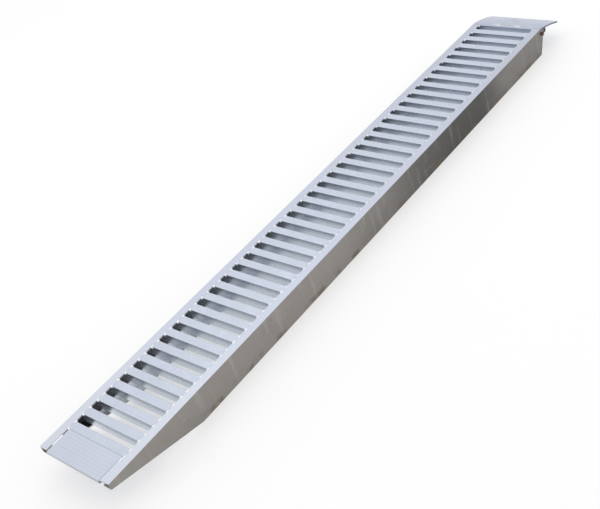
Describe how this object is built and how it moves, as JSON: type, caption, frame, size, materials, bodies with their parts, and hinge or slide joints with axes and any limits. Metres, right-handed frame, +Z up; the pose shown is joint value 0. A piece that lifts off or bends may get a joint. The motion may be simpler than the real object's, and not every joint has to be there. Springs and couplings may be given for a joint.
{
  "type": "loading ramp",
  "caption": "Long straight aluminium loading ramp with channel side rails, ladder rungs, tapered toe plate and curved lip with strap slots.",
  "frame": {"origin": "under the middle of the whole ramp, on the plane that the side rails lie on", "axes": "+Y along the ramp from the toe to the lip, +Z up out of the deck, +X to the right when looking from the toe to the lip"},
  "size_m": [0.415, 3.4176, 0.1412],
  "materials": {
    "rail_aluminium": "mill finish, dulled and scuffed by handling",
    "deck_aluminium": "bright extruded, fine lines along the extrusion",
    "plate_aluminium": "satin rolled plate",
    "weld_metal": "bright rippled weld bead",
    "lug_steel": "dark hot-rolled steel",
    "rusty_steel": "surface rust over worn zinc plating"
  },
  "bodies": {
    "root": {"left_rail": "rail_aluminium", "right_rail": "rail_aluminium", "toe_plate": "plate_aluminium", "rung_01": "deck_aluminium", "rung_02": "deck_aluminium", "rung_03": "deck_aluminium", "rung_04": "deck_aluminium", "rung_05": "deck_aluminium", "rung_06": "deck_aluminium", "rung_07": "deck_aluminium", "rung_08": "deck_aluminium", "rung_09": "deck_aluminium", "rung_10": "deck_aluminium", "rung_11": "deck_aluminium", "rung_12": "deck_aluminium", "rung_13": "deck_aluminium", "rung_14": "deck_aluminium", "rung_15": "deck_aluminium", "rung_16": "deck_aluminium", "rung_17": "deck_aluminium", "rung_18": "deck_aluminium", "rung_19": "deck_aluminium", "rung_20": "deck_aluminium", "rung_21": "deck_aluminium", "rung_22": "deck_aluminium", "rung_23": "deck_aluminium", "rung_24": "deck_aluminium", "rung_25": "deck_aluminium", "rung_26": "deck_aluminium", "rung_27": "deck_aluminium", "rung_28": "deck_aluminium", "rung_29": "deck_aluminium", "rung_30": "deck_aluminium", "rung_31": "deck_aluminium", "rung_32": "deck_aluminium", "rung_33": "deck_aluminium", "rung_34": "deck_aluminium", "rung_35": "deck_aluminium", "rung_36": "deck_aluminium", "rung_37": "deck_aluminium", "rung_38": "deck_aluminium", "rung_39": "deck_aluminium", "rung_40": "deck_aluminium", "lip_plate": "plate_aluminium", "stop_lug_left": "lug_steel", "stop_lug_right": "lug_steel", "lug_bolts": "rusty_steel", "lug_washers": "rusty_steel", "lug_nuts": "rusty_steel", "rung_welds_left": "weld_metal", "rung_welds_right": "weld_metal", "toe_plate_welds": "weld_metal", "lip_welds": "weld_metal"}
  },
  "joints": []
}
